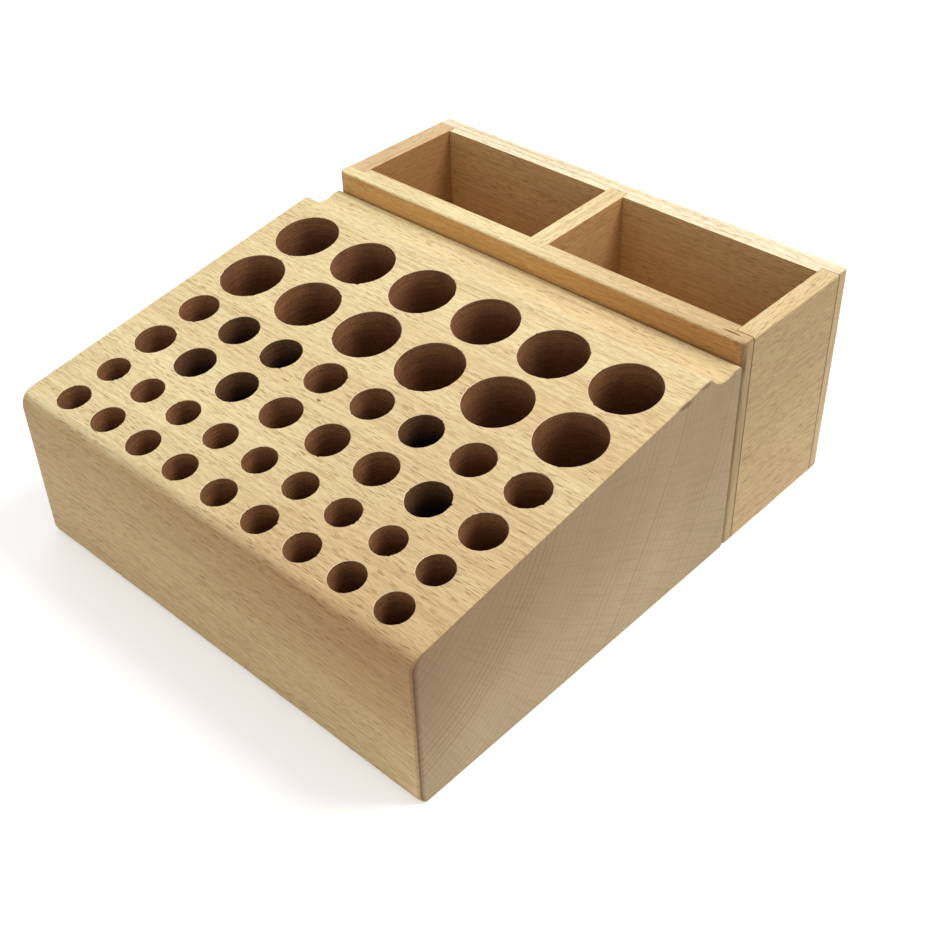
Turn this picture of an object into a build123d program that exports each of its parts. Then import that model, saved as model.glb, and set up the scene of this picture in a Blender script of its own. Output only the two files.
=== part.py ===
from build123d import *
import math
import os

# A desk holder for hand tools. A solid beech block with a sloping top is drilled with rows of holes,
# and an open box of two compartments is glued to its back. X runs along the width, Y from the front
# to the back and Z up. The origin is on the table, under the middle of the holder. Sizes are in mm.

# Whole holder
width = 128.0
box_depth = 42.6
box_height = 58.0

# Block, seen from the side
front_height = 40.9  # where the slope would meet the front face, were that edge not rounded
slope_angle = 8.83  # degrees
ledge_depth = 11.6  # from the crest of the slope to the block's back
cove_reach = 5.4  # from the crest back to the lowest point of the cove
cove_drop = 3.5  # the cove's lowest point below the crest
lip_reach = 8.9
lip_drop = 2.7
top_round = 4.0  # along the front's top edge
foot_round = 2.0  # along the front's bottom edge
crest_round = 1.2
lip_round = 1.0
back_round = 1.0  # along the block's back edges
corner_round = 1.5  # the block's upright front edges

# Holes, drilled square to the slope
small_hole = 8.1
medium_hole = 10.1
large_hole = 16.3
small_web = 4.88  # wood between neighbours in a row
medium_web = 4.89
large_web = 3.93
small_shift = 0.15  # how far the middle of a row lies from the middle of the block
medium_shift = 0.42
large_shift = 0.03
side_margin = 4.5  # least wood beside the end holes
front_margin = 3.5  # wood between the front face and the first row, along the slope
small_rows_web = 3.45  # wood between two rows of one size
medium_rows_web = 3.55
large_rows_web = 2.4
small_to_medium_web = 3.7
medium_to_large_web = 2.95
crest_margin = 4.35  # wood between the last row and the crest
wood_under_holes = 11.5  # under the first row, square to the slope
mouth_easing = 0.15

# Box
front_wall = 5.7
back_wall = 6.4
left_wall = 6.2
right_wall = 4.7
divider_thickness = 5.4
divider_shift = 0.4  # the divider's middle from the middle of the box
divider_skew = 1.9  # degrees: the divider's back end lies a little to the left of its front end
joint_depth = 2.2  # rebates at the long walls' ends, and housings for the divider
floor_thickness = 3.0
floor_lap = 2.4  # how far the floor panel is let into the walls
box_corner_round = 1.6
box_rim_round = 0.8

# Places along the slope, worked out from the rows in order
slope = math.radians(slope_angle)
small_row_1 = front_margin + small_hole / 2
small_row_2 = small_row_1 + small_hole + small_rows_web
medium_row_1 = small_row_2 + small_hole / 2 + small_to_medium_web + medium_hole / 2
medium_row_2 = medium_row_1 + medium_hole + medium_rows_web
large_row_1 = medium_row_2 + medium_hole / 2 + medium_to_large_web + large_hole / 2
large_row_2 = large_row_1 + large_hole + large_rows_web
slope_length = large_row_2 + large_hole / 2 + crest_margin
hole_depth = (front_height + small_row_1 * math.sin(slope)) * math.cos(slope) - wood_under_holes

# Places along Y and Z
crest_at = slope_length * math.cos(slope)
crest_height = front_height + slope_length * math.sin(slope)
block_depth = crest_at + ledge_depth
depth = block_depth + box_depth
front_y = -depth / 2
box_front_y = front_y + block_depth
box_back_y = box_front_y + box_depth
inner_front_y = box_front_y + front_wall
inner_back_y = box_back_y - back_wall
inner_left_x = -width / 2 + left_wall
inner_right_x = width / 2 - right_wall


def span(x_low, x_high, y_low, y_high, z_low, z_high):
    """A board between two corners."""
    middle = ((x_low + x_high) / 2, (y_low + y_high) / 2, (z_low + z_high) / 2)
    return Pos(*middle) * Box(x_high - x_low, y_high - y_low, z_high - z_low)


def block_profile():
    """The block's outline from the side, on the plane of its left end, with its long edges rounded."""
    low = Vector(front_y, 0)
    top_front = Vector(front_y, front_height)
    crest = Vector(front_y + crest_at, crest_height)
    cove = Vector(crest.X + cove_reach, crest_height - cove_drop)
    lip = Vector(crest.X + lip_reach, crest_height - lip_drop)
    top_back = Vector(box_front_y, lip.Y)
    low_back = Vector(box_front_y, 0)
    face = make_face([
        Line(low, top_front),
        Line(top_front, crest),
        ThreePointArc(crest, cove, lip),
        Line(lip, top_back),
        Line(top_back, low_back),
        Line(low_back, low),
    ])
    rounds = (
        (low, foot_round),
        (top_front, top_round),
        (crest, crest_round),
        (lip, lip_round),
        (top_back, back_round),
        (low_back, back_round),
    )
    for corner, radius in rounds:
        nearest = face.vertices().sort_by_distance((corner.X, corner.Y, 0))[0]
        face = fillet(nearest, radius)
    return face


def hole_rows():
    """Each row as its diameter, the wood between its holes, its shift and its place on the slope."""
    return (
        (small_hole, small_web, small_shift, small_row_1),
        (small_hole, small_web, small_shift, small_row_2),
        (medium_hole, medium_web, medium_shift, medium_row_1),
        (medium_hole, medium_web, medium_shift, medium_row_2),
        (large_hole, large_web, large_shift, large_row_1),
        (large_hole, large_web, large_shift, large_row_2),
    )


def hole_tool(diameter):
    """The space of one hole below the slope, with its eased mouth at the origin."""
    radius = diameter / 2
    return revolve(
        make_face(Polyline(
            (0, mouth_easing),
            (radius + 2 * mouth_easing, mouth_easing),
            (radius, -mouth_easing),
            (radius, -hole_depth),
            (0, -hole_depth),
            close=True,
        ).move(Rotation(90, 0, 0))),
        axis=Axis.Z,
    )


def tool_block():
    """The drilled block: its profile along the width, rounded at the ends, less the holes."""
    body = extrude(Plane.YZ.offset(-width / 2) * block_profile(), width)
    upright = body.edges().filter_by(Axis.Z)
    front_edges = upright.group_by(Axis.Y)[0]
    body = fillet(front_edges, corner_round)
    slope_start = Plane(origin=(0, front_y, front_height), x_dir=(1, 0, 0),
                        z_dir=(0, -math.sin(slope), math.cos(slope)))
    for diameter, web, shift, place in hole_rows():
        pitch = diameter + web
        count = int((width - 2 * side_margin + web) / pitch)
        tool = hole_tool(diameter)
        for number in range(count):
            across = shift + (number - (count - 1) / 2) * pitch
            body -= slope_start * Pos(across, place, 0) * tool
    return body


def box_outside():
    """The box as a solid, with its outer edges rounded after the boards were glued up."""
    body = span(-width / 2, width / 2, box_front_y, box_back_y, 0, box_height)
    body = fillet(body.edges().filter_by(Axis.Z), box_corner_round)
    rims = body.faces().sort_by(Axis.Z)
    return fillet(rims[0].edges() + rims[-1].edges(), box_rim_round)


def floor_panel():
    """The thin floor, flush with the box's underside and let into all four walls."""
    return span(
        inner_left_x - floor_lap, inner_right_x + floor_lap,
        inner_front_y - floor_lap, inner_back_y + floor_lap,
        0, floor_thickness,
    )


def cross_board(x_low, x_high, z_low):
    """A board from front to back, its ends held in the two long walls."""
    return span(x_low, x_high, inner_front_y - joint_depth, inner_back_y + joint_depth, z_low, box_height)


def divider_board():
    """The divider, set slightly askew in its housings, standing on the floor panel."""
    upright = Box(divider_thickness, box_depth, box_height - floor_thickness)
    middle = (divider_shift, (inner_front_y + inner_back_y) / 2, (floor_thickness + box_height) / 2)
    askew = Pos(*middle) * Rot(0, 0, divider_skew) * upright
    return askew & cross_board(inner_left_x, inner_right_x, floor_thickness)


def box_boards():
    """The box's boards by name. Each long wall is cut to take the ends of the boards that meet it."""
    outside = box_outside()
    floor = floor_panel()
    left = cross_board(-width / 2, inner_left_x, 0)
    right = cross_board(inner_right_x, width / 2, 0)
    divider = divider_board()
    front = span(-width / 2, width / 2, box_front_y, inner_front_y, 0, box_height)
    back = span(-width / 2, width / 2, inner_back_y, box_back_y, 0, box_height)
    return {
        "box_front_wall": (front & outside) - left - right - divider - floor,
        "box_back_wall": (back & outside) - left - right - divider - floor,
        "box_left_end": (left & outside) - floor,
        "box_right_end": (right & outside) - floor,
        "box_divider": divider,
        "box_floor_panel": floor,
    }


pieces = {"tool_block": tool_block(), **box_boards()}
os.makedirs("parts", exist_ok=True)
for name, piece in pieces.items():
    export_step(piece, f"parts/{name}.step")
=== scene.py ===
import math

import bmesh
import bpy
from mathutils import Matrix, Vector, noise

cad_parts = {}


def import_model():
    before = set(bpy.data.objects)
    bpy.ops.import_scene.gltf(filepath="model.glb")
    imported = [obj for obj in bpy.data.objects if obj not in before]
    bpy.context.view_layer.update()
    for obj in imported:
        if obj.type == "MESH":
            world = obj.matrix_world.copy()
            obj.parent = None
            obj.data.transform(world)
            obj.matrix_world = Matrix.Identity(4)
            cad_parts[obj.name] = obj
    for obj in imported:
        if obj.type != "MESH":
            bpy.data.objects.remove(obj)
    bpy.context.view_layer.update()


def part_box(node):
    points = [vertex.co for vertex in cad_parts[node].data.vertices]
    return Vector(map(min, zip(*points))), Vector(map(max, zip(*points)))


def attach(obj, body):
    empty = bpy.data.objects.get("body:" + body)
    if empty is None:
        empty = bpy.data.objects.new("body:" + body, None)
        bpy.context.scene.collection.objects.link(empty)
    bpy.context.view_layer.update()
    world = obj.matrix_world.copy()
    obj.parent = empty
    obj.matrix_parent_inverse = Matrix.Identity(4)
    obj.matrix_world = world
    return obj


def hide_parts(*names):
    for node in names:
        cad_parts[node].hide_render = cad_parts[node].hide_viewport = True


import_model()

# A desk holder for hand tools, in beech. Sizes below are in mm and follow the solids:
# X along the width, Y from the front to the back, Z up, the origin on the table.

MM = 0.001

# Block
WIDTH = 128.0
HALF = WIDTH / 2
BLOCK_LOW, BLOCK_HIGH = (Vector(v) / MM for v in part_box("tool_block"))
FRONT_Y = BLOCK_LOW.y
FRONT_HEIGHT = 40.9
SLOPE = math.radians(8.83)
LEDGE_DEPTH = 11.6
COVE = (5.4, -3.5)  # the cove's lowest point from the crest
LIP = (8.9, -2.7)
TOP_ROUND = 4.0
FOOT_ROUND = 2.0
CREST_ROUND = 1.2
LIP_ROUND = 1.0
BACK_ROUND = 1.0
CORNER_ROUND = 1.5
END_ARRIS = 0.35

# Box
BOX_FRONT_Y = BLOCK_HIGH.y
BOX_DEPTH = 42.6
BOX_BACK_Y = BOX_FRONT_Y + BOX_DEPTH
BOX_HEIGHT = 58.0
FRONT_WALL = 5.7
BACK_WALL = 6.4
LEFT_WALL = 6.2
RIGHT_WALL = 4.7
DIVIDER = 5.4
DIVIDER_SHIFT = 0.4
DIVIDER_SKEW = math.radians(1.9)
JOINT_DEPTH = 2.2
FLOOR = 3.0
BOX_CORNER_ROUND = 1.6
BOX_RIM_ROUND = 0.8
OVER = 0.3  # how far a raw board stands past the sanded form before it is cut to it
EASING = 0.11  # along a board's own edges
INNER_FRONT = BOX_FRONT_Y + FRONT_WALL
INNER_BACK = BOX_BACK_Y - BACK_WALL
INNER_LEFT = -HALF + LEFT_WALL
INNER_RIGHT = HALF - RIGHT_WALL
FRONT_JOINT = INNER_FRONT - JOINT_DEPTH
BACK_JOINT = INNER_BACK + JOINT_DEPTH

# Holes: diameter, wood between holes, shift of the row, place along the slope
HOLE_ROWS = (
    (8.1, 4.88, 0.15, 7.55),
    (8.1, 4.88, 0.15, 19.10),
    (10.1, 4.89, 0.42, 31.90),
    (10.1, 4.89, 0.42, 45.55),
    (16.3, 3.93, 0.03, 61.70),
    (16.3, 3.93, 0.03, 80.40),
)
HOLE_DEPTH = 30.0
SIDE_MARGIN = 4.5
# row and number of the holes that a hot drill scorched
BURNT = {(2, 1), (2, 2), (2, 6), (3, 1), (3, 2), (3, 5)}

# The slope's directions and length
SLOPE_UP = Vector((0, -math.sin(SLOPE), math.cos(SLOPE)))
SLOPE_ALONG = Vector((0, math.cos(SLOPE), math.sin(SLOPE)))
SLOPE_LENGTH = (BOX_FRONT_Y - LEDGE_DEPTH - FRONT_Y) / math.cos(SLOPE)


# Mesh helpers

def keep(mesh_object, name, node):
    """Names a finished piece, ties it to the holder's one body and lets it stand for a node."""
    mesh_object.name = name
    mesh_object.data.name = name
    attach(mesh_object, "root")
    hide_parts(node)
    return mesh_object


def object_from(bm, name):
    """An object in metres from a mesh that is drawn in millimetres."""
    bmesh.ops.scale(bm, vec=(MM, MM, MM), verts=bm.verts)
    bmesh.ops.recalc_face_normals(bm, faces=bm.faces)
    mesh = bpy.data.meshes.new(name)
    bm.to_mesh(mesh)
    bm.free()
    made = bpy.data.objects.new(name, mesh)
    bpy.context.scene.collection.objects.link(made)
    return made


def skin(bm, rings):
    """Faces from each ring of points to the next, and one over each end."""
    for one, two in zip(rings, rings[1:]):
        for k in range(len(one)):
            bm.faces.new((one[k - 1], one[k], two[k], two[k - 1]))
    bm.faces.new(rings[0])
    bm.faces.new(rings[-1])


def settle(made):
    """Bakes an object's modifiers into its mesh."""
    bpy.context.view_layer.update()
    graph = bpy.context.evaluated_depsgraph_get()
    mesh = bpy.data.meshes.new_from_object(made.evaluated_get(graph))
    made.modifiers.clear()
    made.data = mesh
    return made


def combine(made, other, operation):
    """Cuts one object with another, or keeps what they share, and drops the other."""
    modifier = made.modifiers.new("combine", "BOOLEAN")
    modifier.operation = operation
    modifier.solver = "EXACT"
    modifier.object = other
    settle(made)
    bpy.data.objects.remove(other)
    return made


def soften(made, angle):
    """Smooth shading over the rounds, with the flat faces kept flat."""
    for polygon in made.data.polygons:
        polygon.use_smooth = True
    made.data.set_sharp_from_angle(angle=math.radians(angle))
    modifier = made.modifiers.new("flat faces stay flat", "WEIGHTED_NORMAL")
    modifier.keep_sharp = True
    modifier.weight = 80
    return settle(made)


def wander(place, seed, size):
    """A slow smooth wander between about -1 and 1, for what a hand sander leaves."""
    return noise.noise(Vector((place / size, seed * 7.31, seed * 3.17))) * 1.6


def fillet_corner(before, corner, after, radius, steps):
    """Points of a round between two straight directions at a corner."""
    into = (corner - before).normalized()
    out = (after - corner).normalized()
    turn = math.acos(max(-1.0, min(1.0, into.dot(out))))
    start = corner - into * (radius * math.tan(turn / 2))
    sense = 1 if into.x * out.y - into.y * out.x > 0 else -1
    normal = Vector((-into.y, into.x)) * sense
    centre = start + normal * radius
    arm = start - centre
    points = []
    for step in range(steps + 1):
        angle = sense * turn * step / steps
        turned = Vector((arm.x * math.cos(angle) - arm.y * math.sin(angle),
                         arm.x * math.sin(angle) + arm.y * math.cos(angle)))
        points.append(centre + turned)
    return points


def circle_through(a, b, c):
    """Centre of the circle through three points."""
    d = 2 * (a.x * (b.y - c.y) + b.x * (c.y - a.y) + c.x * (a.y - b.y))
    x = (a.length_squared * (b.y - c.y) + b.length_squared * (c.y - a.y) + c.length_squared * (a.y - b.y)) / d
    y = (a.length_squared * (c.x - b.x) + b.length_squared * (a.x - c.x) + c.length_squared * (b.x - a.x)) / d
    return Vector((x, y))


def arc_points(a, b, c, steps):
    """Points of the arc from a through b to c, anticlockwise, and the angles at which it starts and ends."""
    centre = circle_through(a, b, c)
    radius = (a - centre).length
    first = math.atan2(a.y - centre.y, a.x - centre.x)
    last = math.atan2(c.y - centre.y, c.x - centre.x)
    if last < first:
        last += math.tau
    points = []
    for step in range(steps + 1):
        angle = first + (last - first) * step / steps
        points.append(centre + Vector((math.cos(angle), math.sin(angle))) * radius)
    return points, first, last


# The drilled block

COVE_STEPS = 22
COVE_POINTS = 18  # as many in every section, so that the sections join
COVE_CLEAR = 0.2  # from the rounds beside the cove to its first and last point


def block_outline(x):
    """The block's outline in the Y-Z plane at one place along its width, sanded a little unevenly."""
    def worn(radius, seed):
        return radius * (1 + 0.10 * wander(x, seed, 17.0) + 0.05 * wander(x, seed + 9, 5.0))

    low = Vector((FRONT_Y, 0))
    top_front = Vector((FRONT_Y, FRONT_HEIGHT))
    crest = top_front + Vector((math.cos(SLOPE), math.sin(SLOPE))) * SLOPE_LENGTH
    cove = crest + Vector(COVE)
    lip = crest + Vector(LIP)
    top_back = Vector((BOX_FRONT_Y, lip.y))
    low_back = Vector((BOX_FRONT_Y, 0))

    arc, first, last = arc_points(crest, cove, lip, COVE_STEPS)
    tangent = Vector((-math.sin(first), math.cos(first)))
    end_tangent = Vector((-math.sin(last), math.cos(last)))
    crest_points = fillet_corner(top_front, crest, crest + tangent, worn(CREST_ROUND, 3), 6)
    lip_points = fillet_corner(lip - end_tangent, lip, top_back, worn(LIP_ROUND, 4), 5)
    from_crest = (crest_points[-1] - crest).length + COVE_CLEAR
    from_lip = (lip_points[0] - lip).length + COVE_CLEAR
    between = [point for point in arc
               if (point - crest).length > from_crest and (point - lip).length > from_lip]

    points = []
    points += fillet_corner(low_back, low, top_front, worn(FOOT_ROUND, 1), 6)
    points += fillet_corner(low, top_front, crest, worn(TOP_ROUND, 2), 9)
    points += crest_points
    points += between[:COVE_POINTS]
    points += lip_points
    points += fillet_corner(lip, top_back, low_back, worn(BACK_ROUND, 5), 4)
    points += fillet_corner(top_back, low_back, low, worn(BACK_ROUND, 6), 4)
    return points


def outline_normals(points):
    """Unit normals of a closed outline, pointing in."""
    count = len(points)
    normals = []
    for k in range(count):
        along = points[(k + 1) % count] - points[k - 1]
        normals.append(Vector((along.y, -along.x)).normalized())
    area = sum(points[k - 1].x * points[k].y - points[k].x * points[k - 1].y for k in range(count))
    return normals if area < 0 else [-n for n in normals]


def end_ring(bm, end, part):
    """One ring of an end's rounded edge, part of the way round it: wide at the front, elsewhere an arris."""
    angle = math.pi / 2 * part
    outline = block_outline(end * HALF)
    ring = []
    for number, (point, inward) in enumerate(zip(outline, outline_normals(outline))):
        forward = max(0.0, inward.x) ** 2
        arris = END_ARRIS * (1 + 0.25 * wander(number, 20 + end, 4.0))
        radius = arris * (1 - forward) + CORNER_ROUND * forward
        moved = point + inward * radius * (1 - math.sin(angle))
        x = end * (HALF - radius * (1 - math.cos(angle)))
        ring.append(bm.verts.new((x, moved.x, moved.y)))
    return ring


def block_body():
    """The solid block, before it is drilled."""
    sections = 48
    end_steps = 4
    end_parts = [step / end_steps for step in range(end_steps + 1)]
    bm = bmesh.new()
    rings = [end_ring(bm, -1, part) for part in end_parts]
    for number in range(1, sections):
        x = -HALF + WIDTH * number / sections
        rings.append([bm.verts.new((x, point.x, point.y)) for point in block_outline(x)])
    rings += [end_ring(bm, 1, part) for part in reversed(end_parts)]
    skin(bm, rings)
    return object_from(bm, "tool_block_body")


def holes():
    """Every hole as (row, number, x, place along the slope, radius)."""
    found = []
    for row, (diameter, web, shift, place) in enumerate(HOLE_ROWS):
        pitch = diameter + web
        count = int((WIDTH - 2 * SIDE_MARGIN + web) / pitch)
        for number in range(count):
            found.append((row, number, shift + (number - (count - 1) / 2) * pitch, place, diameter / 2))
    return found


def on_slope(x, place):
    """The point on the slope's plane at a place across it and along it."""
    return Vector((x, FRONT_Y, FRONT_HEIGHT)) + SLOPE_ALONG * place


def drilled_radius(radius, flare, height, angle, seed):
    """How wide a hole is at one height and angle: ragged at its mouth, with a few nicks, and smooth below."""
    around = Vector((math.cos(angle) * 1.7, math.sin(angle) * 1.7, seed * 5.3))
    ragged = noise.noise(around * 1.9) * 0.5 + noise.noise(around * 5.0) * 0.5
    nick = max(0.0, noise.noise(around * 7.0 + Vector((0, 0, 3.1))) - 0.34)
    mouth = math.exp(height / 0.35) if height < 0 else 1.0
    wide = radius + flare * (1 + 0.4 * ragged) + (0.08 * ragged + 0.9 * nick) * mouth
    return wide + 0.02 * noise.noise(Vector((seed * 1.7, height / 3, angle)))


def hole_cutters():
    """One mesh of all the drill's paths, each with its eased mouth."""
    segments = 80
    # height from the slope's plane, and how far the hole flares there
    levels = [(0.6, 0.54), (0.0, 0.09), (-0.12, 0.0), (-0.7, 0.0)]
    levels += [(-3.0 * k, 0.0) for k in range(1, 10)] + [(-HOLE_DEPTH, -0.1)]
    bm = bmesh.new()
    for row, number, x, place, radius in holes():
        seed = row * 31 + number * 7 + 1
        middle = on_slope(x, place)
        rings = []
        for height, flare in levels:
            ring = []
            for k in range(segments):
                angle = math.tau * k / segments
                wide = drilled_radius(radius, flare, height, angle, seed)
                ring.append(bm.verts.new(middle + Vector((1, 0, 0)) * wide * math.cos(angle)
                                         + SLOPE_ALONG * wide * math.sin(angle) + SLOPE_UP * height))
            rings.append(ring)
        skin(bm, rings)
    return object_from(bm, "hole_cutters")


def drilled_block():
    """The block with its holes."""
    made = combine(block_body(), hole_cutters(), "DIFFERENCE")
    return soften(made, 24)


# The box

def prism(outline, low, high):
    """An upright board on an outline in the X-Y plane, with all its edges lightly eased."""
    bm = bmesh.new()
    bottom = [bm.verts.new((x, y, low)) for x, y in outline]
    top = [bm.verts.new((x, y, high)) for x, y in outline]
    skin(bm, (bottom, top))
    bmesh.ops.recalc_face_normals(bm, faces=bm.faces)
    bmesh.ops.bevel(bm, geom=bm.edges[:], offset=EASING, segments=2, profile=0.5, affect="EDGES",
                    clamp_overlap=True)
    return bm


def box_outline(radius):
    """The box's outline in plan: a round at each corner, and points along the straight run to the next."""
    corner_steps = 7
    side_steps = 14
    corners = (
        (-HALF, BOX_FRONT_Y, math.pi), (HALF, BOX_FRONT_Y, 1.5 * math.pi),
        (HALF, BOX_BACK_Y, 0.0), (-HALF, BOX_BACK_Y, math.pi / 2),
    )

    def middle(x, y):
        return x - math.copysign(radius, x), y + (radius if y == BOX_FRONT_Y else -radius)

    points = []
    for number, (x, y, start) in enumerate(corners):
        middle_x, middle_y = middle(x, y)
        for step in range(corner_steps + 1):
            angle = start + math.pi / 2 * step / corner_steps
            points.append((middle_x + radius * math.cos(angle), middle_y + radius * math.sin(angle)))
        next_x, next_y, _ = corners[(number + 1) % 4]
        next_middle = middle(next_x, next_y)
        to_x, to_y = (next_middle[0], next_y) if number % 2 == 0 else (next_x, next_middle[1])
        from_x, from_y = points[-1]
        for step in range(1, side_steps):
            share = step / side_steps
            points.append((from_x + (to_x - from_x) * share, from_y + (to_y - from_y) * share))
    return points


def envelope():
    """The box's outer form, sanded round after the boards were glued up."""
    rim_steps = 5
    rim_reach = 4  # the plain levels between the rims start this far from them
    side_steps = 8
    near = 1.7  # a point this near to a side is pulled in with it
    angles = [math.pi / 2 * k / rim_steps for k in range(rim_steps + 1)]
    levels = [(1 - math.cos(angle), 1 - math.sin(angle)) for angle in angles]
    heights = [rim_reach + (BOX_HEIGHT - 2 * rim_reach) * k / side_steps for k in range(side_steps + 1)]
    plan = [("low", up, pull) for up, pull in levels] + [("side", z, 0) for z in heights]
    plan += [("high", up, pull) for up, pull in reversed(levels)]

    bm = bmesh.new()
    rings = []
    for kind, up, pull in plan:
        height = {"low": 0, "side": up, "high": BOX_HEIGHT}[kind]
        ring = []
        for x, y in box_outline(BOX_CORNER_ROUND * (1 + 0.12 * wander(height, 41, 15.0))):
            rim = BOX_RIM_ROUND * (1 + 0.16 * wander(x + 2.3 * y, 42 if kind == "low" else 43, 9.0))
            out_x = 1 if x > HALF - near else -1 if x < -HALF + near else 0
            out_y = 1 if y > BOX_BACK_Y - near else -1 if y < BOX_FRONT_Y + near else 0
            length = math.hypot(out_x, out_y) or 1
            inset = rim * pull
            z = {"low": rim * up, "side": up, "high": BOX_HEIGHT - rim * up}[kind]
            ring.append(bm.verts.new((x - out_x / length * inset, y - out_y / length * inset, z)))
        rings.append(ring)
    skin(bm, rings)
    return object_from(bm, "box_envelope")


def board(outline, low, high, name, node):
    """A board of the box: its own outline within the box's sanded outer form."""
    made = object_from(prism(outline, low, high), name)
    combine(made, envelope(), "INTERSECT")
    soften(made, 40)
    return keep(made, name, node)


def rectangle(x_low, x_high, y_low, y_high):
    """Its four corners in order."""
    return [(x_low, y_low), (x_high, y_low), (x_high, y_high), (x_low, y_high)]


def divider_edge(side, y):
    """Where one face of the divider, which stands slightly askew, crosses a line from left to right."""
    middle = (INNER_FRONT + INNER_BACK) / 2
    return DIVIDER_SHIFT + side * DIVIDER / 2 / math.cos(DIVIDER_SKEW) - (y - middle) * math.tan(DIVIDER_SKEW)


def long_wall(outer, joint, inner):
    """A long wall's outline, rebated at both ends and housed for the divider, from three places along Y."""
    return [
        (-HALF - OVER, outer), (HALF + OVER, outer),
        (HALF + OVER, joint), (INNER_RIGHT, joint), (INNER_RIGHT, inner),
        (divider_edge(1, inner), inner), (divider_edge(1, joint), joint),
        (divider_edge(-1, joint), joint), (divider_edge(-1, inner), inner),
        (INNER_LEFT, inner), (INNER_LEFT, joint), (-HALF - OVER, joint),
    ]


def box_boards():
    """The box's boards by the node that each stands for."""
    front = long_wall(BOX_FRONT_Y - OVER, FRONT_JOINT, INNER_FRONT)
    back = long_wall(BOX_BACK_Y + OVER, BACK_JOINT, INNER_BACK)
    left = rectangle(-HALF - OVER, INNER_LEFT, FRONT_JOINT, BACK_JOINT)
    right = rectangle(INNER_RIGHT, HALF + OVER, FRONT_JOINT, BACK_JOINT)
    divider = [
        (divider_edge(-1, FRONT_JOINT), FRONT_JOINT), (divider_edge(1, FRONT_JOINT), FRONT_JOINT),
        (divider_edge(1, BACK_JOINT), BACK_JOINT), (divider_edge(-1, BACK_JOINT), BACK_JOINT),
    ]
    floor_panel = rectangle(INNER_LEFT, INNER_RIGHT, INNER_FRONT, INNER_BACK)
    return {
        "box_front_wall": board(front, 0, BOX_HEIGHT, "front_wall_board", "box_front_wall"),
        "box_back_wall": board(back, 0, BOX_HEIGHT, "back_wall_board", "box_back_wall"),
        "box_left_end": board(left, 0, BOX_HEIGHT, "left_end_board", "box_left_end"),
        "box_right_end": board(right, 0, BOX_HEIGHT, "right_end_board", "box_right_end"),
        "box_divider": board(divider, FLOOR, BOX_HEIGHT, "divider_board", "box_divider"),
        "box_floor_panel": board(floor_panel, 0, FLOOR, "floor_board", "box_floor_panel"),
    }


# Writing shaders

class Value:
    """What a shader node gives out. A sum, product or step of values adds the node that works it out."""

    def __init__(self, shade, socket):
        self.shade = shade
        self.socket = socket

    def __add__(self, other):
        return self.shade.math("ADD", self, other)

    def __sub__(self, other):
        return self.shade.math("SUBTRACT", self, other)

    def __mul__(self, other):
        return self.shade.math("MULTIPLY", self, other)

    def __truediv__(self, other):
        return self.shade.math("DIVIDE", self, other)

    def __abs__(self):
        return self.shade.math("ABSOLUTE", self)

    def step(self, low, high, from_value=0.0, to_value=1.0):
        """A smooth step between two values, from where this one is low to where it is high."""
        ends = {"Value": self, "From Min": low, "From Max": high, "To Min": from_value, "To Max": to_value}
        return self.shade.node("ShaderNodeMapRange", ends, interpolation_type="SMOOTHSTEP")


class Shade:
    """A material that is written node by node."""

    def __init__(self, name):
        self.material = bpy.data.materials.new(name)
        self.material.use_nodes = True
        self.tree = self.material.node_tree
        self.tree.nodes.clear()

    def node(self, kind, inputs=(), output=0, **settings):
        """Adds a node with its settings and its inputs, values or constants, and gives back one output."""
        made = self.tree.nodes.new(kind)
        for key, setting in settings.items():
            setattr(made, key, setting)
        for key, value in dict(inputs).items():
            if isinstance(value, Value):
                self.tree.links.new(value.socket, made.inputs[key])
            else:
                made.inputs[key].default_value = value
        return Value(self, made.outputs[output])

    def math(self, operation, a, b=0.0):
        return self.node("ShaderNodeMath", {0: a, 1: b}, operation=operation)

    def distance(self, a, b):
        """How far a step of a one way and b square to it leads."""
        return self.math("SQRT", a * a + b * b)

    def parts(self, vector):
        """The X, Y and Z of a vector."""
        made = self.tree.nodes.new("ShaderNodeSeparateXYZ")
        self.tree.links.new(vector.socket, made.inputs[0])
        return [Value(self, output) for output in made.outputs]

    def place(self):
        """The piece's own X, Y and Z in millimetres."""
        return [part * (1 / MM) for part in self.parts(self.node("ShaderNodeTexCoord", output="Object"))]

    def at(self, first, second, third, shift=None):
        """Where a pattern is read. Each axis is a number, or a value and its scale, and the shift moves
        the third."""
        axes = [axis[0] * axis[1] if isinstance(axis, tuple) else axis for axis in (first, second, third)]
        if shift is not None:
            axes[2] = axes[2] + shift
        return self.node("ShaderNodeCombineXYZ", {0: axes[0], 1: axes[1], 2: axes[2]})

    def noise(self, vector, detail=2.0, rough=0.5):
        inputs = {"Vector": vector, "Scale": 1.0, "Detail": detail, "Roughness": rough}
        return self.node("ShaderNodeTexNoise", inputs)

    def near(self, vector):
        """Distance to the nearest of many scattered points."""
        return self.node("ShaderNodeTexVoronoi", {"Vector": vector, "Scale": 1.0}, "Distance")

    def mix(self, share, a, b, blend="MIX"):
        """One colour laid over another by a share."""
        return self.node("ShaderNodeMix", {0: share, 6: a, 7: b}, 2, data_type="RGBA", blend_type=blend)

    def bump(self, height, strength, distance):
        inputs = {"Strength": strength, "Distance": distance, "Height": height}
        return self.node("ShaderNodeBump", inputs)

    def finish(self, shader):
        out = self.tree.nodes.new("ShaderNodeOutputMaterial")
        self.tree.links.new(shader.socket, out.inputs["Surface"])
        return self.material

    def finish_wood(self, colour, roughness, bump):
        """Bare wood: dull, with little gloss."""
        inputs = {"Base Color": colour, "Roughness": roughness, "Normal": bump, "Specular IOR Level": 0.3}
        return self.finish(self.node("ShaderNodeBsdfPrincipled", inputs))


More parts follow.
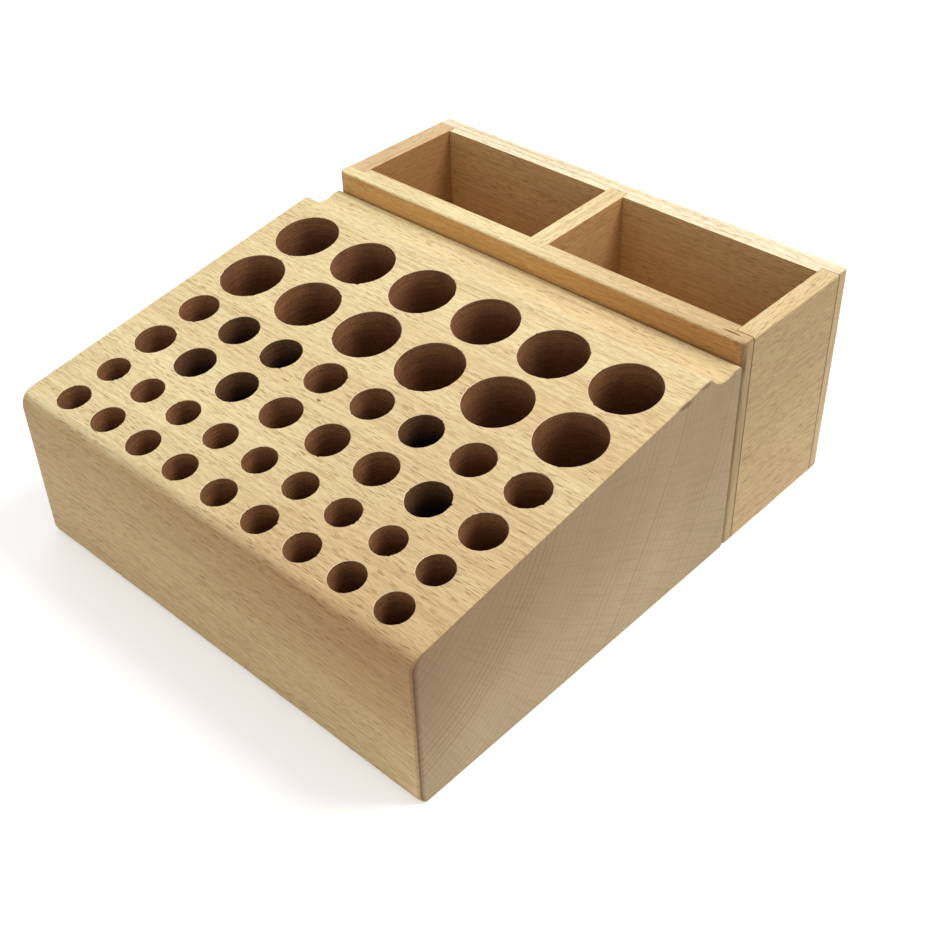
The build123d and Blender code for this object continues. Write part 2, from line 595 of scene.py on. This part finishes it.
def tone(red, green, blue):
    """A colour from its 0 to 255 screen values."""
    def linear(value):
        value /= 255
        return value / 12.92 if value <= 0.04045 else ((value + 0.055) / 1.055) ** 2.4
    return (linear(red), linear(green), linear(blue), 1.0)


# Beech

LATE_WOOD = (204, 168, 116)
THREAD = (238, 224, 206)
END_RING = (138, 108, 74)
END_RAY = (126, 96, 64)
# painted shade on the rounded arrises, and a line of painted shade down the upright rounds
ARRIS_SHADE = (132, 96, 56)
EDGE_SHADE = (104, 72, 38)
SEAM = (96, 60, 30)
MARK = (98, 62, 32)


class Beech(Shade):
    """Beech as solid wood. Rings lie around a pith that runs along the grain, and rays spread from it:
    on the long faces the rays show as short thin dashes, and on an end as fine lines across the rings."""

    def __init__(self, name, grain, pith, ring, seed):
        super().__init__(name)
        self.seed = seed
        self.x, self.y, self.z = self.place()
        self.along, self.across = (self.x, self.y) if grain == "X" else (self.y, self.x)
        self.normal = self.parts(self.node("ShaderNodeTexCoord", output="Normal"))
        # end grain shows where a face looks along the grain
        self.facing = abs(self.normal[0] if grain == "X" else self.normal[1])
        self.end = self.facing.step(0.45, 0.80)
        self.lay_rings(pith, ring)
        self.lay_fibres()

    def lay_rings(self, pith, ring):
        """Rings, unevenly spaced: thin lines of late wood, and now and then a stronger one."""
        along, across, z, seed = self.along, self.across, self.z, self.seed
        sway = self.noise(self.at((along, 0.012), (across, 0.03), (z, 0.03), seed)) - 0.5
        sway_up = self.noise(self.at((along, 0.02), seed + 5.0, (across, 0.04))) - 0.5
        from_pith = across - pith[0] + sway * 5.0
        above_pith = z - pith[1] + sway_up * 4.0
        self.radius = self.distance(from_pith, above_pith)
        self.turn = self.math("ARCTAN2", above_pith, from_pith) * 100.0

        uneven = self.noise(self.at((self.radius, 0.11), seed, 0.0)) * 3.0
        phase = self.math("FRACT", self.radius / ring + uneven)
        self.late = phase.step(0.35, 0.94) * phase.step(1.0, 0.95)
        strong = self.noise(self.at((self.radius, 0.16), (along, 0.006), seed + 8.0)).step(0.50, 0.68)
        self.strong_late = self.late * strong
        self.broad = self.noise(self.at((along, 0.010), (self.radius, 0.10), seed)).step(0.30, 0.72)
        self.blotch = self.noise(self.at((along, 0.018), (across, 0.035), (z, 0.035), seed)).step(0.45, 0.75)

    def lay_fibres(self):
        """Fibres, finer threads and broader streaks, and the dashes of the rays."""
        drift = self.noise(self.at((self.along, 0.03), (self.across, 0.05), (self.z, 0.05))) * 2.0
        over, up = self.across + drift, self.z + drift

        def drawn_out(along_scale, across_scale, shift=self.seed):
            return self.at((self.along, along_scale), (over, across_scale), (up, across_scale), shift)

        self.fibre = self.noise(drawn_out(0.16, 3.4), detail=3.0, rough=0.75)
        self.thread = self.noise(drawn_out(0.22, 6.0), rough=0.6).step(0.46, 0.66, 0.0, 0.85)
        self.streak = self.noise(drawn_out(0.03, 1.3)).step(0.46, 0.64)
        patchy = self.noise(drawn_out(0.05, 0.14, None)).step(0.36, 0.60)
        self.dash = self.near(drawn_out(0.21, 2.8)).step(0.29, 0.20) * patchy.step(0.0, 1.0, 0.45, 1.0)
        self.fine_dash = self.near(drawn_out(0.34, 4.2, self.seed + 3.3)).step(0.38, 0.26)

    def long_faces(self, light, dark, fleck, shaded_sides, toward, front):
        """The colour of the faces along the grain, with painted shade on upright faces and down the front."""
        colour = self.mix(self.broad, tone(*light), tone(*dark))
        colour = self.mix(self.blotch * 0.30, colour, tone(*dark))
        colour = self.mix(self.late * 0.10 + self.strong_late * 0.38, colour, tone(*LATE_WOOD))
        # painted shade: upright faces, or those that look toward one way, take darker tones from foot to top
        if shaded_sides:
            low, high = shaded_sides
            upright = abs(self.normal[2]).step(0.75, 0.35)
            if toward:
                looking = self.normal[0] * toward[0] + self.normal[1] * toward[1]
                upright = upright * looking.step(-0.4, 0.4, 0.35, 1.0)
            shaded = self.mix(self.z.step(5.0, 52.0), tone(*low), tone(*high))
            colour = self.mix(upright * 0.85, colour, shaded)
        # painted shade down the front, darker towards its top
        if front:
            low, high = front
            front_shade = self.mix(self.z.step(6.0, 40.0), tone(*low), tone(*high))
            colour = self.mix(self.normal[1].step(-0.45, -0.95) * 0.80, colour, front_shade)
        colour = self.mix(self.streak * 0.17, colour, tone(*fleck))
        colour = self.mix(self.fibre.step(0.42, 0.78) * 0.16, colour, tone(*fleck))
        colour = self.mix(self.thread, colour, tone(*THREAD), "MULTIPLY")
        dashes = self.math("MINIMUM", self.dash * 0.68 + self.fine_dash * 0.20, 1.0)
        return self.mix(dashes, colour, tone(*fleck))

    def end_faces(self, low, high):
        """The colour of the faces across the grain, at the foot and at the top, where the change from
        foot to top is painted shade.
        """
        rays = self.noise(self.at((self.radius, 0.06), (self.turn, 2.2), self.seed), detail=3.0, rough=0.7)
        pores = self.noise(self.at((self.along, 0.6), (self.across, 4.5), (self.z, 4.5)), rough=0.7)
        # painted shade from foot to top
        colour = self.mix(self.z.step(8.0, 46.0, 0.0, 0.75) + self.broad * 0.25, tone(*low), tone(*high))
        colour = self.mix(self.late * 0.13 + self.strong_late * 0.30, colour, tone(*END_RING))
        lines = rays.step(0.46, 0.70) * 0.20 + pores.step(0.48, 0.78) * 0.24
        return self.mix(lines, colour, tone(*END_RAY))

    def shade_arrises(self, colour, edge_shade):
        """Painted shade on the arrises around the ends, and a darker line of painted shade down the
        upright ones.
        """
        arris = self.facing.step(0.10, 0.45) * self.facing.step(0.99, 0.88)
        colour = self.mix(arris * 0.30, colour, tone(*ARRIS_SHADE))
        if edge_shade:
            band = self.facing.step(0.56, 0.68) * self.facing.step(0.86, 0.74)
            band = band * abs(self.normal[2]).step(0.30, 0.10)
            colour = self.mix(band * edge_shade, colour, tone(*EDGE_SHADE))
        return colour

    def draw_seams(self, colour, seams):
        """Joint lines from left to right: the place along Y, the width, and whether only ends show them.
        Where the box meets the block, the line is partly the joint and partly painted shade in the gap.
        """
        for place, width, only_ends in seams:
            share = abs(self.y - place).step(width, width * 0.3) * self.fibre.step(0.2, 0.6, 0.6, 0.85)
            colour = self.mix(share * self.end if only_ends else share, colour, tone(*SEAM))
        return colour

    def draw_marks(self, colour, marks):
        """Dark marks with ragged edges, most of them in the wood and one of them painted shade."""
        for middle, reach, share in marks:
            axes = zip((self.x, self.y, self.z), middle, reach)
            x, y, z = [(value - centre) * (1 / size) for value, centre, size in axes]
            away = self.math("SQRT", x * x + (y * y + z * z)) + (self.fibre - 0.5)
            colour = self.mix(away.step(1.0, 0.35) * share, colour, tone(*MARK))
        return colour

    def paint_corner_shade(self, colour, corner):
        """Painted shade near an upright corner, a little darker towards its top."""
        (x, y), reach, shade = corner
        away = self.distance(self.x - x, self.y - y)
        share = away.step(reach, 0.0) * self.z.step(2.0, 38.0)
        return self.mix(share, colour, tone(*shade), "MULTIPLY")


def beech(name, grain, pith, ring, seed, light=(243, 228, 178), dark=(233, 211, 160), fleck=(146, 100, 56),
          ends=((192, 170, 134), (176, 151, 115)), shaded_sides=None, toward=None, front=None, corner=None,
          edge_shade=0.0, seams=(), marks=()):
    """A board's own wood. The end, upright and front tones are given at the foot and at the top of
    those faces: painted shade, darker on upright faces and changing from foot to top. Toward is the
    way that the upright faces with painted shade look, and corner gives painted shade near an
    upright corner."""
    wood = Beech(name, grain, pith, ring, seed)
    long_faces = wood.long_faces(light, dark, fleck, shaded_sides, toward, front)
    colour = wood.mix(wood.end, long_faces, wood.end_faces(*ends))
    colour = wood.shade_arrises(colour, edge_shade)
    colour = wood.draw_seams(colour, seams)
    colour = wood.draw_marks(colour, marks)
    # painted shade near an upright corner
    if corner:
        colour = wood.paint_corner_shade(colour, corner)
    height = wood.fibre * 0.6 + (wood.dash * -0.45 + wood.late * -0.12)
    return wood.finish_wood(colour, wood.fibre * 0.18 + 0.50, wood.bump(height, 0.35, 0.00012))


def drilled(name, lit, deep, mouth, seed):
    """The wall of a drilled hole: grain torn by the bit, with the bit's marks. It is darker than planed
    faces, partly from the torn grain and partly as painted shade, and its painted shade deepens from the
    mouth downwards.
    """
    wall = Shade(name)
    x, y, z = wall.place()
    slope_plane = FRONT_Y * SLOPE_UP.y + FRONT_HEIGHT * SLOPE_UP.z
    height = y * SLOPE_UP.y + z * SLOPE_UP.z - slope_plane
    turns = wall.noise(wall.at((x, 0.12), (y, 0.12), (height, 1.7), seed), detail=3.0, rough=0.6)
    torn = wall.noise(wall.at((x, 1.6), (y, 3.4), (z, 3.4)), detail=3.0, rough=0.7)
    stain = wall.noise(wall.at((x, 0.16), (y, 0.16), (z, 0.1), seed))
    specks = wall.near(wall.at((x, 1.5), (y, 1.5), (z, 2.2), seed))
    pale = [min(value + 60, 250) for value in mouth]
    # painted shade: from the mouth tone at the top to the darker tone further down
    colour = wall.mix(height.step(-9.0, -1.0), tone(*lit), tone(*mouth))
    colour = wall.mix(turns.step(0.42, 0.60) * 0.22 + torn.step(0.38, 0.72) * 0.42, colour, tone(*deep))
    colour = wall.mix(stain.step(0.45, 0.7) * 0.30, colour, tone(*deep))
    colour = wall.mix(specks.step(0.24, 0.14) * height.step(-6.0, -1.0, 0.10, 0.45), colour, tone(*pale))
    return wall.finish_wood(colour, 0.62, wall.bump(turns + torn * 0.6, 0.6, 0.00025))


# Dark marks: middle, reach along X, Y and Z, and how dark. Most are marks in the wood; the two broad
# faint ones darken the right end towards its back and towards its front, and the last one, by the box,
# is painted shade in the crease where the box's corner meets the block's top.
BLOCK_MARKS = (
    ((-2.9, -34.0, 47.0), (0.9, 0.45, 2.0), 0.8),
    ((-18.6, -66.6, 42.0), (1.2, 0.6, 2.0), 0.35),
    ((22.0, -14.6, 50.0), (0.7, 0.35, 2.0), 0.5),
    ((HALF, 9.5, 53.2), (1.0, 3.4, 0.9), 0.6),
    ((HALF, 16.5, 54.4), (1.0, 2.4, 0.7), 0.5),
    ((HALF, 27.0, 26.0), (1.5, 26.0, 60.0), 0.14),
    ((HALF, -74.0, 4.0), (1.5, 18.0, 60.0), 0.13),
    ((-34.5, -73.0, 1.6), (0.9, 1.0, 0.6), 0.8),
    ((22.0, -73.0, 1.2), (1.3, 1.0, 0.5), 0.6),
)
RIM_MARKS = (
    ((59.0, BOX_FRONT_Y + 2.2, BOX_HEIGHT), (3.4, 0.42, 1.2), 0.9),
    ((61.8, BOX_FRONT_Y + 0.4, 57.2), (1.5, 0.7, 0.9), 0.55),
    ((HALF, BOX_FRONT_Y + 0.8, 52.0), (0.6, 0.8, 4.0), 0.5),
)


# Painting the pieces

DRILLED, SCORCHED, RIM_HIGHLIGHT = 1, 2, 3  # the places of the holes' materials, after the block's own
# a hole's pale rim is a painted highlight on its eased edge
RIM_TOP = 0.02  # the pale rim of a hole lies between these two depths
RIM_FOOT = 0.09


def give(made, *materials):
    """Hands a piece its materials, the first of them on every face."""
    made.data.materials.clear()
    for material in materials:
        made.data.materials.append(material)
    for polygon in made.data.polygons:
        polygon.material_index = 0


def paint_block(made):
    """The block's own wood, and the walls of its holes, plain or scorched, with a painted highlight
    on the rim of each hole.
    """
    give(
        made,
        beech("beech_block", "X", (-98.0, 75.0), 1.9, 1.7, ends=((186, 165, 129), (174, 150, 113)),
              front=((232, 202, 153), (214, 178, 127)), edge_shade=0.5,
              corner=((HALF, -73.0), 120.0, (230, 217, 210)),
              seams=((BOX_FRONT_Y, 0.5, False),), marks=BLOCK_MARKS),
        drilled("beech_drilled", (136, 88, 55), (70, 37, 20), (168, 119, 78), 2.0),
        drilled("beech_scorched", (50, 31, 22), (26, 16, 12), (132, 92, 58), 6.0),
        drilled("beech_rim_highlight", (246, 228, 184), (222, 194, 146), (246, 228, 184), 9.0),
    )
    found = holes()
    for polygon in made.data.polygons:
        centre = polygon.center / MM
        depth = -(centre - on_slope(0, 0)).dot(SLOPE_UP)
        place = (centre - on_slope(0, 0)).dot(SLOPE_ALONG)
        if RIM_TOP < depth < HOLE_DEPTH + 1:
            for row, number, x, hole_place, radius in found:
                if math.hypot(centre.x - x, place - hole_place) < radius + 0.3:
                    wall = SCORCHED if (row, number) in BURNT else DRILLED
                    # the pale rim is a painted highlight
                    polygon.material_index = RIM_HIGHLIGHT if depth < RIM_FOOT else wall


def paint_box(boards):
    """Each board's own wood, with painted shade: the faces that look into the box are the darker ones,
    and the right end's faces grow darker towards the top.
    """
    give(boards["box_front_wall"], beech(
        "beech_front_wall", "X", (-30.0, 30.0), 2.4, 11.0, shaded_sides=((214, 163, 97), (214, 163, 97)),
        ends=((182, 160, 116), (194, 174, 128)), corner=((HALF, BOX_FRONT_Y), 70.0, (228, 216, 208)),
        seams=((BOX_FRONT_Y, 0.6, True), (FRONT_JOINT, 0.3, True)), marks=RIM_MARKS))
    give(boards["box_back_wall"], beech(
        "beech_back_wall", "X", (160.0, 10.0), 2.8, 23.0, light=(250, 240, 208), dark=(246, 231, 193),
        ends=((204, 178, 134), (194, 167, 121)), shaded_sides=((212, 172, 108), (212, 172, 108)), toward=(0, -1),
        seams=((BACK_JOINT, 0.3, True),)))
    give(boards["box_left_end"], beech(
        "beech_left_end", "Y", (-150.0, 40.0), 2.2, 31.0, light=(232, 206, 164), dark=(220, 190, 144),
        shaded_sides=((172, 125, 74), (172, 125, 74)), toward=(1, 0)))
    give(boards["box_right_end"], beech(
        "beech_right_end", "Y", (160.0, 10.0), 2.6, 43.0, light=(228, 206, 158), dark=(216, 190, 142),
        fleck=(124, 84, 44), shaded_sides=((196, 168, 124), (178, 151, 107)),
        seams=((FRONT_JOINT, 0.4, False), (BACK_JOINT, 0.4, False))))
    give(boards["box_divider"], beech(
        "beech_divider", "Y", (70.0, 110.0), 2.4, 51.0, shaded_sides=((194, 145, 90), (194, 145, 90))))
    give(boards["box_floor_panel"], beech(
        "beech_floor_panel", "X", (50.0, -60.0), 2.5, 67.0, shaded_sides=((200, 156, 100), (200, 156, 100))))


# Stage

def floor():
    """A white sheet under the holder, greyer further out. Its shadows stay, and the camera sees it pale."""
    bm = bmesh.new()
    bmesh.ops.create_grid(bm, x_segments=1, y_segments=1, size=3000)
    made = object_from(bm, "floor")
    sheet = Shade("floor")
    x, y, _ = sheet.parts(sheet.node("ShaderNodeNewGeometry", output="Position"))
    far = sheet.distance(x, y).step(0.12, 0.30)
    paper = sheet.mix(far, (0.90, 0.90, 0.90, 1.0), (0.45, 0.45, 0.45, 1.0))
    plain = sheet.node("ShaderNodeBsdfDiffuse", {"Color": paper})
    seen = sheet.node("ShaderNodeLightPath", output="Is Camera Ray") * far.step(0.0, 1.0, 0.38, 0.80)
    glow = sheet.node("ShaderNodeEmission", {"Color": (1, 1, 1, 1), "Strength": seen})
    made.data.materials.append(sheet.finish(sheet.node("ShaderNodeAddShader", {0: plain, 1: glow})))


def lamp(name, place, aim, size, power):
    """A round soft lamp that looks at a point."""
    light = bpy.data.lights.new(name, "AREA")
    light.shape = "DISK"
    light.size = size
    light.energy = power
    made = bpy.data.objects.new(name, light)
    bpy.context.scene.collection.objects.link(made)
    made.location = place
    made.rotation_euler = (Vector(aim) - Vector(place)).to_track_quat("-Z", "Y").to_euler()


def world():
    """An even white sky, and a white background for the camera."""
    made = bpy.data.worlds.new("studio")
    bpy.context.scene.world = made
    made.use_nodes = True
    tree = made.node_tree
    tree.nodes.clear()
    add, link = tree.nodes.new, tree.links.new
    path, seen = add("ShaderNodeLightPath"), add("ShaderNodeMix")
    link(path.outputs["Is Camera Ray"], seen.inputs[0])
    seen.inputs[2].default_value = 0.60
    seen.inputs[3].default_value = 1.0
    sky, out = add("ShaderNodeBackground"), add("ShaderNodeOutputWorld")
    sky.inputs["Color"].default_value = (1, 1, 1, 1)
    link(seen.outputs[0], sky.inputs["Strength"])
    link(sky.outputs[0], out.inputs["Surface"])


def camera():
    """The viewpoint, as it was solved from the holder's sizes and the rims of its holes."""
    data = bpy.data.cameras.new("camera")
    data.sensor_width = 36.0
    data.lens = 53.442
    data.clip_start = 0.01
    data.clip_end = 20.0
    made = bpy.data.objects.new("camera", data)
    bpy.context.scene.collection.objects.link(made)
    place = (0.1938, -0.19149, 0.22586)
    forward = Vector((-0.5434, 0.5609, -0.6246)).normalized()
    roughly_right = Vector((0.7324, 0.6803, -0.0263))
    up = roughly_right.cross(forward).normalized()
    right = forward.cross(up)
    turned = Matrix((right, up, -forward)).transposed().to_4x4()
    made.matrix_world = Matrix.Translation(place) @ turned
    bpy.context.scene.camera = made


paint_block(keep(drilled_block(), "drilled_block", "tool_block"))
paint_box(box_boards())
floor()
world()
lamp("soft_left", (-0.45, 0.25, 0.55), (0, 0, 0.03), 0.5, 0.6)
lamp("soft_right", (0.34, 0.31, 0.72), (0, 0, 0.03), 0.35, 4.4)
camera()
bpy.context.scene.view_settings.view_transform = "Standard"
